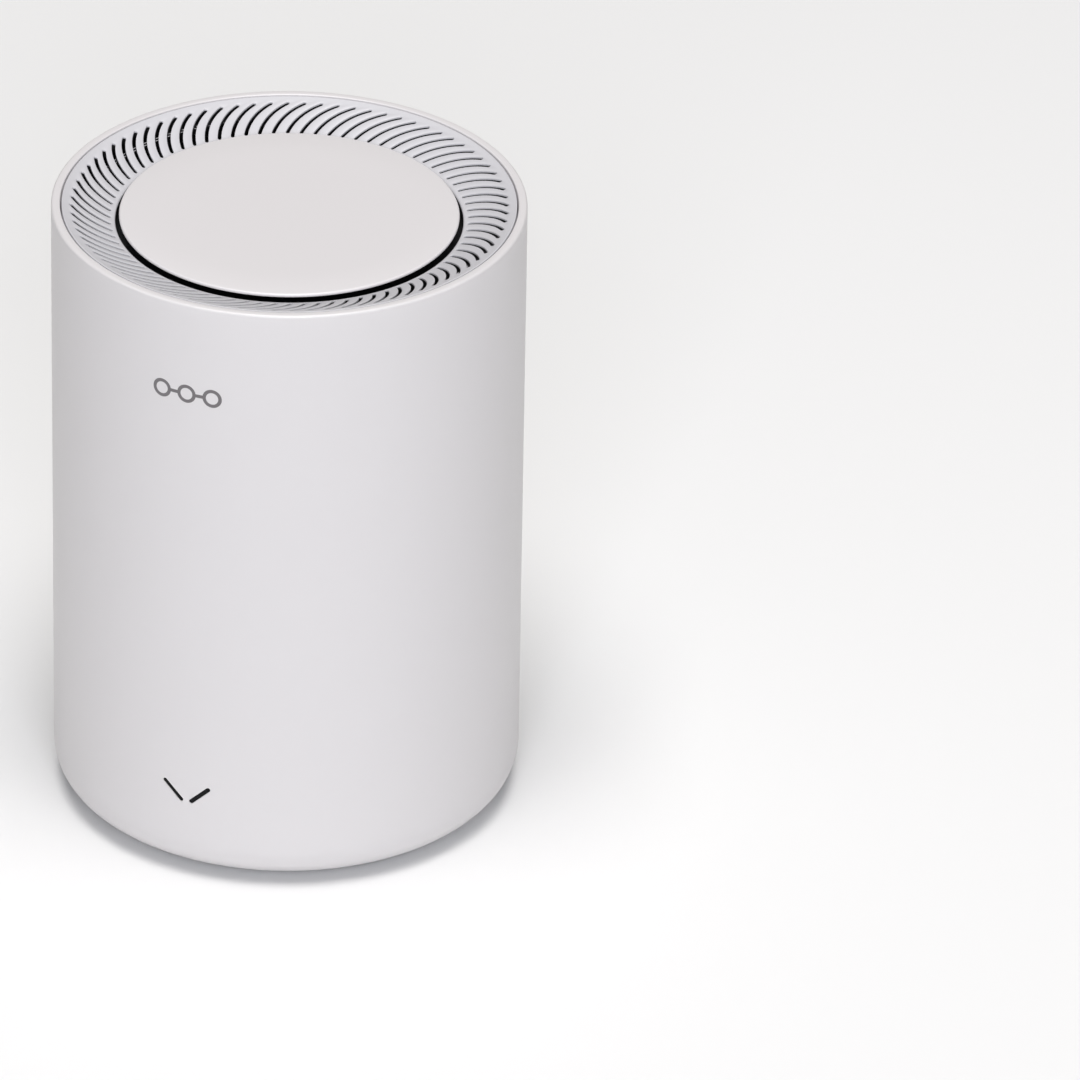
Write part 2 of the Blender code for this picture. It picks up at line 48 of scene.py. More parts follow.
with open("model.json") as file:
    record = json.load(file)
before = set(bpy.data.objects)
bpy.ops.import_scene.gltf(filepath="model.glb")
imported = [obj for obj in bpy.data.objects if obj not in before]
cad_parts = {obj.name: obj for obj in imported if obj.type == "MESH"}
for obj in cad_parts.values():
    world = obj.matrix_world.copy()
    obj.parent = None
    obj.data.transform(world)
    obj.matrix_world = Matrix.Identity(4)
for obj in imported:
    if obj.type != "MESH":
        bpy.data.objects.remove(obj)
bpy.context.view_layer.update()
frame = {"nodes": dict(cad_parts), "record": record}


def top_of(node):
    """Height of a node's highest point."""
    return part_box(node)[1].z / MM


def reach_of(node):
    """How far a node reaches from the body's axis along X."""
    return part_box(node)[1].x / MM


BODY_R = reach_of("outer_shell")
RIM_Z = top_of("outer_shell")
INNER_R = BODY_R - 2.1
SEAM_R = reach_of("top_grille")
PANEL_HALF = reach_of("rear_io_panel")
PORT_Z = (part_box("wan_jack")[0].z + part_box("wan_jack")[1].z) / 2 / MM
PORT_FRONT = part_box("wan_jack")[1].y / MM
PORT_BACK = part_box("wan_jack")[0].y / MM
PANEL_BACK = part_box("rear_io_panel")[0].y / MM
PANEL_FACE = PANEL_BACK + 2.0
JACK_HALF, JACK_TALL = 8.0, 6.75
POWER_HALF, POWER_TALL = 4.5, 5.5
SCREW_REACH = 31.5


def middle_x(node):
    """A node's middle along X."""
    low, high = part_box(node)
    return (low.x + high.x) / 2 / MM


# ---------------------------------------------------------------- sizes and colours a user would change

def srgb(code):
    """An sRGB hex colour as linear red, green, blue and alpha."""
    parts = [int(code[i:i + 2], 16) / 255 for i in (0, 2, 4)]
    return (*(p / 12.92 if p <= 0.04045 else ((p + 0.055) / 1.055) ** 2.4 for p in parts), 1.0)


def length_property(name, description, default, low=0.0):
    return bpy.props.FloatProperty(name=name, description=description, default=default * MM, min=low,
                                   unit="LENGTH", precision=5)


def colour_property(name, description, code):
    return bpy.props.FloatVectorProperty(name=name, description=description, default=srgb(code), size=4,
                                         min=0.0, max=1.0, subtype="COLOR")


class WifiNodeSizes(bpy.types.PropertyGroup):
    """Sizes of the visible pieces."""
    facets: bpy.props.IntProperty(name="Facets", description="Facets round the large turned pieces",
                                  default=256, min=48, max=512)
    slot_count: bpy.props.IntProperty(name="Vent slots", description="Curved slots round the vent ring",
                                      default=80, min=24, max=120)
    slot_width: length_property("Slot width", "Width of one vent slot", 0.86)
    # Below this depth the vent ring's slot walls are painted black as shade.
    skin: length_property("Grey skin", "Depth of the vent ring's grey skin over its black core", 0.42)
    slot_round: length_property("Slot rounding", "Rounding along the slots' upper edges", 0.1)
    rim_round: length_property("Rim rounding", "Rounding of the shell's outer rim", 0.6)
    disc_round: length_property("Disc rounding", "Rounding of the centre disc's edge", 0.5)
    light_width: length_property("Indicator width", "Width of one indicator stroke", 1.1)
    mark_height: length_property("Mark height", "Height of the printed mark's middle", 129.4)
    mark_reach: length_property("Mark reach", "Distance from the mark's middle to its outer rings", 6.3)
    base_vents: bpy.props.IntProperty(name="Base vents", description="Radial slots in the base plate",
                                      default=20, min=8, max=40)


class WifiNodeColours(bpy.types.PropertyGroup):
    """Colours of the finishes."""
    white: colour_property("White plastic", "Shell and centre disc", "DBD8D9")
    grey: colour_property("Grey plastic", "Vent ring, rear panel and base plate", "CBCACE")
    # This black is also painted as shade on the vent ring's slot walls, rib and underside.
    black: colour_property("Black plastic", "Carrier and sockets", "121214")
    ink: colour_property("Printed mark", "Ink of the mark on the front", "6E6A6C")
    board: colour_property("Solder mask", "Green coat of the circuit boards", "12532C")


class WifiNodeStage(bpy.types.PropertyGroup):
    """Floor, lights and camera."""
    floor: colour_property("Floor", "Floor colour", "EEEEEE")
    key: bpy.props.FloatProperty(name="Key light", description="Power of the large soft front light",
                                 default=85.0, min=0.0, unit="POWER")
    top: bpy.props.FloatProperty(name="Top light", description="Power of the soft overhead light",
                                 default=120.0, min=0.0, unit="POWER")
    sky_low: bpy.props.FloatProperty(name="Horizon", description="World brightness near the horizon",
                                     default=0.04, min=0.0)
    sky_high: bpy.props.FloatProperty(name="Zenith", description="World brightness overhead",
                                      default=0.08, min=0.0)
    azimuth: bpy.props.FloatProperty(name="Azimuth", description="Where the camera stands round the node",
                                     default=math.radians(25.0), subtype="ANGLE")
    elevation: bpy.props.FloatProperty(name="Elevation", description="How far the camera looks down",
                                       default=math.radians(28.33), subtype="ANGLE")
    distance: bpy.props.FloatProperty(name="Distance", description="From the camera to the rim's middle",
                                      default=2.6559, min=0.3, unit="LENGTH")


# ---------------------------------------------------------------- shapes

def rounded(corners):
    """Points of an outline whose (x, y, radius) corners are each rounded to their radius."""
    points = []
    for i, (x, y, radius) in enumerate(corners):
        at = Vector((x, y))
        if radius <= 0:
            points.append(at)
            continue
        a = (Vector(corners[i - 1][:2]) - at).normalized()
        b = (Vector(corners[(i + 1) % len(corners)][:2]) - at).normalized()
        half = a.angle(b) / 2
        centre = at + (a + b).normalized() * radius / math.sin(half)
        first = at + a * radius / math.tan(half) - centre
        last = at + b * radius / math.tan(half) - centre
        steps = 16 if radius > 5 else 6 if radius > 0.5 else 4
        turn = first.angle(last)
        side = 1 if first.x * last.y - first.y * last.x > 0 else -1
        for k in range(steps + 1):
            t = side * turn * k / steps
            points.append(centre + Vector((first.x * math.cos(t) - first.y * math.sin(t),
                                           first.x * math.sin(t) + first.y * math.cos(t))))
    return [p for i, p in enumerate(points) if (p - points[i - 1]).length > 1e-4]


def lathe(bm, profile, segments, place=None):
    """Turns (radius, height) points about the Z axis. Points on the axis become poles."""
    rings = []
    for radius, height in profile:
        if radius < 1e-6:
            rings.append([bm.verts.new((0.0, 0.0, height * MM))] * segments)
            continue
        rings.append([bm.verts.new((radius * MM * math.cos(2 * math.pi * k / segments),
                                    radius * MM * math.sin(2 * math.pi * k / segments), height * MM))
                      for k in range(segments)])
    closed = profile[0][0] > 1e-6
    for a, b in zip(rings, rings[1:] + rings[:1] if closed else rings[1:]):
        for k in range(segments):
            n = (k + 1) % segments
            quad = list(dict.fromkeys((a[k], a[n], b[n], b[k])))
            if len(quad) > 2:
                bm.faces.new(quad)
    if place is not None:
        bmesh.ops.transform(bm, matrix=place, verts=list({v for ring in rings for v in ring}))


def skin(bm, loops, wrap=False, caps=False):
    """Joins loops of the same count of points into one surface, as a ring or with closed ends."""
    rings = [[bm.verts.new(Vector(p) * MM) for p in loop] for loop in loops]
    count = len(rings[0])
    for a, b in zip(rings, rings[1:] + rings[:1] if wrap else rings[1:]):
        for k in range(count):
            n = (k + 1) % count
            bm.faces.new((a[k], a[n], b[n], b[k]))
    for ring in (rings[0], rings[-1]) if caps else ():
        hub = bm.verts.new(sum((v.co for v in ring), Vector()) / count)
        for k in range(count):
            bm.faces.new((ring[k], ring[(k + 1) % count], hub))


def window(half_x, low, high, radius, inset=0.0, long=24):
    """A rounded opening's (x, z) outline, with the same count of points for any inset."""
    x, z0, z1, r = half_x - inset, low + inset, high - inset, max(radius - inset, 0.05)
    centres = [(x - r, z1 - r), (r - x, z1 - r), (r - x, z0 + r), (x - r, z0 + r)]
    points = []
    for i, (cx, cz) in enumerate(centres):
        for k in range(7):
            t = math.radians(90 * i + 15 * k)
            points.append((cx + r * math.cos(t), cz + r * math.sin(t)))
        nx, nz = centres[(i + 1) % 4]
        t = math.radians(90 * i + 90)
        start, stop = Vector(points[-1]), Vector((nx + r * math.cos(t), nz + r * math.sin(t)))
        runs = long if i % 2 == 0 else 4
        points += [tuple(start.lerp(stop, k / runs)) for k in range(1, runs)]
    return points


def capsule(a, b, half, steps=8):
    """Outline of a straight stroke with round ends."""
    a, b = Vector(a), Vector(b)
    along = math.atan2(b.y - a.y, b.x - a.x)
    return [(c.x + half * math.cos(t), c.y + half * math.sin(t))
            for c, first in ((b, along - math.pi / 2), (a, along + math.pi / 2))
            for t in (first + math.pi * k / steps for k in range(steps + 1))]


def rearward(node):
    """Turns a piece's own axis to point back along Y, through a node's middle."""
    low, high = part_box(node)
    through = Matrix.Translation(((low.x + high.x) / 2, 0.0, (low.z + high.z) / 2))
    return through @ Matrix.Rotation(-math.pi / 2, 4, "X")


def front_y(x, radius):
    """How far along Y a turned surface of this radius lies at x."""
    return math.sqrt(radius * radius - x * x)


def wire(bm, points, radius, sides=8):
    """A round wire along the points, closed at both ends."""
    points = [Vector(p) for p in points]
    loops, side = [], Vector((1.0, 0.0, 0.0))
    for i, p in enumerate(points):
        run = (points[min(i + 1, len(points) - 1)] - points[max(i - 1, 0)]).normalized()
        up = run.cross(side).normalized()
        loops.append([p + radius * (side * math.cos(t) + up * math.sin(t))
                      for t in (2 * math.pi * k / sides for k in range(sides))])
    skin(bm, loops, caps=True)


def add_object(name, bm):
    """A new object at the origin from a bmesh, with its normals turned outwards."""
    bmesh.ops.remove_doubles(bm, verts=bm.verts, dist=1e-7)
    bmesh.ops.recalc_face_normals(bm, faces=bm.faces)
    mesh = bpy.data.meshes.new(name)
    bm.to_mesh(mesh)
    bm.free()
    obj = bpy.data.objects.new(name, mesh)
    bpy.context.scene.collection.objects.link(obj)
    return obj


def make_plain(obj):
    """Turns a piece's modifiers into plain mesh."""
    bpy.context.view_layer.update()
    made = bpy.data.meshes.new_from_object(obj.evaluated_get(bpy.context.evaluated_depsgraph_get()))
    obj.modifiers.clear()
    old, obj.data = obj.data, made
    bpy.data.meshes.remove(old)
    made.name = obj.name


def turned(name, profile, segments, place=None):
    """A new object turned about the Z axis and then put in its place."""
    bm = bmesh.new()
    lathe(bm, profile, segments, place)
    return add_object(name, bm)


def lofted(name, loops, **ends):
    """A new object with one surface over loops of points."""
    bm = bmesh.new()
    skin(bm, loops, **ends)
    return add_object(name, bm)


def carve(obj, tool):
    """Cuts a piece with a tool, which is then thrown away."""
    cut = obj.modifiers.new("Carve", "BOOLEAN")
    cut.operation, cut.solver, cut.object = "DIFFERENCE", "EXACT", tool
    make_plain(obj)
    bpy.data.objects.remove(tool, do_unlink=True)
    if not obj.data.polygons:
        raise RuntimeError(f"{obj.name} was cut away to nothing")


def soften(obj, width):
    """Rounds a piece's sharp edges by a small width."""
    bevel = obj.modifiers.new("Soften", "BEVEL")
    bevel.width, bevel.segments, bevel.limit_method = width * MM, 2, "ANGLE"
    bevel.angle_limit, bevel.harden_normals = math.radians(50.0), False
    make_plain(obj)


def settle(obj, slot, replaces=(), body="housing", smooth=32.0, finish=None):
    """Shades a finished piece, with its slot's finish if it has none, puts it under its body and hides the
    parts it replaces.
    """
    if not obj.data.materials:
        obj.data.materials.append(finish_for(finish or slot))
    obj.data.shade_smooth()
    obj.data.set_sharp_from_angle(angle=math.radians(smooth))
    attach(obj, body)
    if replaces:
        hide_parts(*replaces)


def block(name, half, low, high, y, radius=0.4, x=0.0):
    """A rounded upright block between two depths, as a closed mesh."""
    outline = [(px + x, pz) for px, pz in window(half, low, high, radius, long=4)]
    return lofted(name, [[(px, depth, pz) for px, pz in outline] for depth in y], caps=True)


# ---------------------------------------------------------------- Geometry Nodes

def repeat_tree():
    """Repeats a mesh round the body's axis and along a step, and gives it one material."""
    tree = bpy.data.node_groups.get("Repeat piece")
    if tree is not None:
        return tree
    tree = bpy.data.node_groups.new("Repeat piece", "GeometryNodeTree")
    face = tree.interface
    face.new_socket("Geometry", in_out="INPUT", socket_type="NodeSocketGeometry")
    for name, kind in (("Count", "NodeSocketInt"), ("First turn", "NodeSocketFloat"),
                       ("Turn", "NodeSocketFloat"), ("Step", "NodeSocketVector"),
                       ("Weld distance", "NodeSocketFloat"), ("Material", "NodeSocketMaterial")):
        face.new_socket(name, in_out="INPUT", socket_type=kind)
    face.new_socket("Geometry", in_out="OUTPUT", socket_type="NodeSocketGeometry")
    given = add(tree, "NodeGroupInput").outputs
    one = add(tree, "GeometryNodeGeometryToInstance", inputs={0: given["Geometry"]}).outputs[0]
    spots = add(tree, "GeometryNodeMeshLine",
                inputs={"Count": given["Count"], "Offset": given["Step"]}).outputs[0]
    index = add(tree, "GeometryNodeInputIndex").outputs[0]
    angle = add(tree, "ShaderNodeMath", {"operation": "MULTIPLY_ADD"},
                {0: index, 1: given["Turn"], 2: given["First turn"]}).outputs[0]
    euler = add(tree, "ShaderNodeCombineXYZ", inputs={"Z": angle}).outputs[0]
    rotation = add(tree, "FunctionNodeEulerToRotation", inputs={0: euler}).outputs[0]
    copies = add(tree, "GeometryNodeInstanceOnPoints",
                 inputs={"Points": spots, "Instance": one, "Rotation": rotation}).outputs[0]
    real = add(tree, "GeometryNodeRealizeInstances", inputs={0: copies}).outputs[0]
    welded = add(tree, "GeometryNodeMergeByDistance",
                 inputs={"Geometry": real, "Distance": given["Weld distance"]}).outputs[0]
    done = add(tree, "GeometryNodeSetMaterial",
               inputs={"Geometry": welded, "Material": given["Material"]}).outputs[0]
    add(tree, "NodeGroupOutput", inputs={"Geometry": done})
    return tree


def repeat(obj, count, material=None, first=0.0, turn=0.0, step=(0.0, 0.0, 0.0), weld=1e-7):
    """Repeats a piece with the node tree; turns are in degrees and the step in mm."""
    tree = repeat_tree()
    maker = obj.modifiers.new("Repeat", "NODES")
    maker.node_group = tree
    values = {"Count": count, "First turn": math.radians(first), "Turn": math.radians(turn),
              "Step": Vector(step) * MM, "Weld distance": weld, "Material": material}
    for socket in tree.interface.items_tree:
        if socket.in_out == "INPUT" and socket.name in values and values[socket.name] is not None:
            maker[socket.identifier] = values[socket.name]
    make_plain(obj)
    bm = bmesh.new()
    bm.from_mesh(obj.data)
    bmesh.ops.recalc_face_normals(bm, faces=bm.faces)
    bm.to_mesh(obj.data)
    bm.free()
    return obj


# ---------------------------------------------------------------- finishes

def add(tree, kind, settings=None, inputs=None):
    """Adds a node; an input that is given a socket is linked to it."""
    node = tree.nodes.new(kind)
    for key, value in (settings or {}).items():
        setattr(node, key, value)
    for key, value in (inputs or {}).items():
        if isinstance(value, bpy.types.NodeSocket):
            tree.links.new(value, node.inputs[key])
        else:
            node.inputs[key].default_value = value
    return node


def surface(name, colour, rough, grain, relief, tint=0.04, drift=45.0, gloss=0.03,
            stretch=(1.0, 1.0, 1.0), paint=None, **shader):
    """A material with a fine grain in its relief and gloss and a slow drift in its colour.

    grain is the width of one grain, relief its depth and drift the width of a patch, in mm.
    """
    made = bpy.data.materials.get(name)
    if made is not None:
        return made
    made = bpy.data.materials.new(name)
    made.use_nodes = True
    made.diffuse_color = colour
    tree = made.node_tree
    tree.nodes.clear()
    place = add(tree, "ShaderNodeTexCoord").outputs["Object"]
    drawn = add(tree, "ShaderNodeMapping", inputs={"Vector": place, "Scale": stretch}).outputs[0]
    fine = add(tree, "ShaderNodeTexNoise",
               inputs={"Vector": drawn, "Scale": 1 / (grain * MM), "Detail": 3.0}).outputs[0]
    slow = add(tree, "ShaderNodeTexNoise",
               inputs={"Vector": place, "Scale": 1 / (drift * MM), "Detail": 2.0}).outputs[0]
    shade = (*(c * (1 - 2 * tint) for c in colour[:3]), 1.0)
    ground = add(tree, "ShaderNodeMix", {"data_type": "RGBA"}, {0: slow, 6: colour, 7: shade}).outputs[2]
    if paint is not None:
        ground = paint(tree, place, ground)
    spread = add(tree, "ShaderNodeMapRange",
                 inputs={0: fine, 1: 0.3, 2: 0.7, 3: max(rough - gloss, 0.02), 4: rough + gloss}).outputs[0]
    relief_out = add(tree, "ShaderNodeBump", inputs={"Strength": 1.0, "Distance": relief * MM,
                                                     "Height": fine}).outputs[0]
    body = add(tree, "ShaderNodeBsdfPrincipled",
               inputs={"Base Color": ground, "Roughness": spread, "Normal": relief_out,
                       **shader}).outputs[0]
    add(tree, "ShaderNodeOutputMaterial", inputs={"Surface": body})
    return made


def ring_mark(tree, place, ground):
    """Three linked rings in pad-printed ink on the front, standing for three nodes of one network."""
    sizes, ink = bpy.context.scene.wifi_node_sizes, bpy.context.scene.wifi_node_colours.ink
    ring_r, half_line = 1.9, 0.42
    reach = sizes.mark_reach / MM
    local = add(tree, "ShaderNodeMapping",
                inputs={"Vector": place, "Location": (0.0, 0.0, -sizes.mark_height / MM),
                        "Scale": (1 / MM,) * 3}).outputs[0]
    x, y, z = add(tree, "ShaderNodeSeparateXYZ", inputs={0: local}).outputs
    across = add(tree, "ShaderNodeMath", {"operation": "ABSOLUTE"}, {0: x}).outputs[0]
    spans = []
    for offset in (0.0, reach):
        shifted = add(tree, "ShaderNodeMath", {"operation": "SUBTRACT"}, {0: across, 1: offset}).outputs[0]
        flat = add(tree, "ShaderNodeCombineXYZ", inputs={0: shifted, 1: z}).outputs[0]
        spans.append(add(tree, "ShaderNodeVectorMath", {"operation": "LENGTH"}, {0: flat}).outputs["Value"])
    nearest = add(tree, "ShaderNodeMath", {"operation": "MINIMUM"}, {0: spans[0], 1: spans[1]}).outputs[0]
    off_ring = add(tree, "ShaderNodeMath", {"operation": "SUBTRACT"}, {0: nearest, 1: ring_r}).outputs[0]
    on_ring = add(tree, "ShaderNodeMath", {"operation": "COMPARE"},
                  {0: off_ring, 1: 0.0, 2: half_line}).outputs[0]
    on_level = add(tree, "ShaderNodeMath", {"operation": "COMPARE"},
                   {0: z, 1: 0.0, 2: half_line}).outputs[0]
    between = add(tree, "ShaderNodeMath", {"operation": "COMPARE"},
                  {0: across, 1: reach / 2, 2: reach / 2 - ring_r}).outputs[0]
    on_bar = add(tree, "ShaderNodeMath", {"operation": "MULTIPLY"}, {0: on_level, 1: between}).outputs[0]
    drawn = add(tree, "ShaderNodeMath", {"operation": "MAXIMUM"}, {0: on_ring, 1: on_bar}).outputs[0]
    in_front = add(tree, "ShaderNodeMath", {"operation": "LESS_THAN"}, {0: y, 1: 0.0}).outputs[0]
    inked = add(tree, "ShaderNodeMath", {"operation": "MULTIPLY"}, {0: drawn, 1: in_front}).outputs[0]
    return add(tree, "ShaderNodeMix", {"data_type": "RGBA"}, {0: inked, 6: ground, 7: ink}).outputs[2]


def board_traces(tree, place, ground):
    """Lighter runs where copper tracks lie under the green coat, about 0.5 mm wide."""
    cells = add(tree, "ShaderNodeTexVoronoi", {"distance": "MANHATTAN"},
                {"Vector": place, "Scale": 1 / (9.0 * MM), "Randomness": 0.6}).outputs["Distance"]
    spread = add(tree, "ShaderNodeMath", {"operation": "MULTIPLY"}, {0: cells, 1: 9.0}).outputs[0]
    bands = add(tree, "ShaderNodeMath", {"operation": "FRACT"}, {0: spread}).outputs[0]
    over = add(tree, "ShaderNodeMath", {"operation": "GREATER_THAN"}, {0: bands, 1: 0.55}).outputs[0]
    tracks = add(tree, "ShaderNodeMath", {"operation": "MULTIPLY"}, {0: over, 1: 0.45}).outputs[0]
    return add(tree, "ShaderNodeMix", {"data_type": "RGBA"},
               {0: tracks, 6: ground, 7: srgb("3C8A52")}).outputs[2]


def finish_for(slot):
    """The procedural material of one of the record's finishes."""
    colours = bpy.context.scene.wifi_node_colours
    if slot == "white_abs":
        # Moulded ABS from a fine spark-eroded mould: an even satin white with a soft sheen. The real
        # grain is about 0.1 mm; it is drawn at 0.4 mm so that it still breaks up the highlights.
        return surface("moulded_abs_white", colours.white, 0.36, 0.4, 0.004, tint=0.008, drift=60.0,
                       IOR=1.53)
    if slot == "printed_abs":
        # The same moulded ABS with a mark pad-printed in flat grey ink.
        return surface("moulded_abs_white_printed", colours.white, 0.36, 0.4, 0.004, tint=0.008, drift=60.0,
                       paint=ring_mark, IOR=1.53)
    if slot == "grey_abs":
        # Moulded ABS in light cool grey with a slightly deeper mould texture, so it looks more matt.
        return surface("moulded_abs_grey", colours.grey, 0.42, 0.35, 0.006, tint=0.01, drift=50.0, IOR=1.53)
    if slot == "black_abs":
        # Black moulded ABS: deep black with a dull grey sheen on its edges.
        return surface("moulded_abs_black", colours.black, 0.45, 0.4, 0.008, tint=0.1, IOR=1.53)
    if slot == "chassis_plastic":
        # Glass-filled nylon: dark grey, dry looking, with a faint flow pattern of the fibres.
        return surface("glass_filled_nylon", srgb("34353A"), 0.6, 0.9, 0.02, tint=0.12, drift=12.0,
                       stretch=(1.0, 1.0, 0.3), IOR=1.53)
    if slot == "smoked_lens":
        # Smoked polycarbonate: nearly black and glossy, with a light guide's faint depth.
        return surface("smoked_polycarbonate", srgb("08080C"), 0.2, 1.2, 0.002, tint=0.1, gloss=0.02,
                       IOR=1.585, **{"Specular IOR Level": 0.12})
    if slot == "foot_rubber":
        # Moulded silicone rubber: dark grey and dull, dusty in its fine grain.
        return surface("silicone_rubber", srgb("3F4043"), 0.78, 0.5, 0.02, tint=0.1, drift=9.0, IOR=1.43)
    if slot == "label_film":
        # Matt polyester label film: off-white with a slight sheen.
        return surface("polyester_film", srgb("E4E3DE"), 0.5, 0.6, 0.003, tint=0.02, drift=14.0, IOR=1.6)
    if slot == "circuit_laminate":
        # Glass-epoxy laminate under green solder mask: glossy green over lighter copper tracks.
        return surface("solder_mask_laminate", colours.board, 0.38, 0.3, 0.008, tint=0.1, drift=8.0,
                       paint=board_traces, IOR=1.52)
    if slot == "chip_epoxy":
        # Transfer-moulded epoxy: charcoal black with a fine sandy surface.
        return surface("moulded_epoxy", srgb("242527"), 0.52, 0.25, 0.01, tint=0.1, drift=5.0, IOR=1.55)
    if slot == "thermal_pad":
        # Filled silicone gap pad: pale blue-grey, soft and slightly mottled.
        return surface("silicone_gap_pad", srgb("A0B3CC"), 0.75, 0.8, 0.03, tint=0.08, drift=4.0, IOR=1.43)
    if slot == "aluminium":
        # Extruded aluminium, clear anodised: bright grey with fine lines along the extrusion.
        return surface("anodised_aluminium", srgb("D2D4D6"), 0.36, 0.5, 0.012, tint=0.05, drift=20.0,
                       stretch=(1.0, 1.0, 0.05), gloss=0.08, Metallic=1.0)
    if slot == "tinned_steel":
        # Tinplate, pressed to shape: warm grey metal with soft mottled crystals about 3 mm wide.
        return surface("pressed_tinplate", srgb("C6C4BF"), 0.28, 2.4, 0.006, tint=0.07, drift=3.0,
                       gloss=0.07, Metallic=1.0)
    if slot == "gold_contacts":
        # Gold-plated phosphor bronze: smooth yellow metal.
        return surface("gold_plated_bronze", srgb("E4B860"), 0.22, 0.3, 0.002, tint=0.05, drift=2.0,
                       Metallic=1.0)
    if slot == "screw_steel":
        # Zinc-plated steel: cool grey with a slight blue-grey cloudiness.
        return surface("zinc_plated_steel", srgb("A9ACB2"), 0.34, 0.4, 0.006, tint=0.1, drift=2.0,
                       gloss=0.06, Metallic=1.0)
    if slot == "led_lens":
        # Clear epoxy over a yellow phosphor: milky pale yellow, glossy.
        return surface("phosphor_epoxy_lens", srgb("EDE7B8"), 0.18, 0.5, 0.003, tint=0.05, drift=1.5,
                       IOR=1.53)
    if slot == "cable_jacket":
        # Extruded PVC jacket: soft black sheen.
        return surface("pvc_jacket", srgb("1B1B1D"), 0.45, 0.4, 0.01, tint=0.1, drift=6.0, IOR=1.54)
    raise RuntimeError(f"no finish is set for the slot {slot}")


# ---------------------------------------------------------------- pieces

def light_stroke(side, half):
    """Outline of one of the two indicator strokes, which together make a wide V."""
    return capsule((side * 5.5, 25.0), (side * 1.3, 21.0), half)


class WIFINODE_OT_shell(bpy.types.Operator):
    """Turns the white shell, then opens its rear bay and its two indicator slots."""
    bl_idname = "wifinode.shell"
    bl_label = "Outer shell"

    def execute(self, context):
        sizes = context.scene.wifi_node_sizes
        base, fillet, wall = 1.0, 9.0, BODY_R - INNER_R
        floor_in, opening = base + wall, BODY_R - fillet - 0.01
        corners = [(INNER_R, RIM_Z, 0.35), (BODY_R, RIM_Z, sizes.rim_round / MM)]
        corners += [(BODY_R, z, 0.0) for z in (148.0, 120.0, 80.0, 40.0, 34.0, 30.0, 26.0, 19.0, 13.0)]
        corners += [(BODY_R, base, fillet), (opening, base, 0.0), (opening, floor_in, 0.0),
                    (INNER_R, floor_in, fillet - wall)]
        corners += [(INNER_R, z, 0.0) for z in (13.0, 19.0, 26.0, 34.0, 40.0, 144.0)]
        shell = turned("moulded_shell", rounded(corners), sizes.facets)
        low, high = PORT_Z - 11.0, PORT_Z + 11.0
        carve(shell, block("bay_tool", PANEL_HALF + 0.3, low, high, (30.0, 60.0), radius=2.0))
        for side in (-1, 1):
            outline = light_stroke(side, sizes.light_width / MM / 2)
            loops = [[(x, y, z) for x, z in outline] for y in (-60.0, -46.0)]
            carve(shell, lofted("light_tool", loops, caps=True))
        settle(shell, "white_abs", ["outer_shell"], finish="printed_abs")
        return {"FINISHED"}


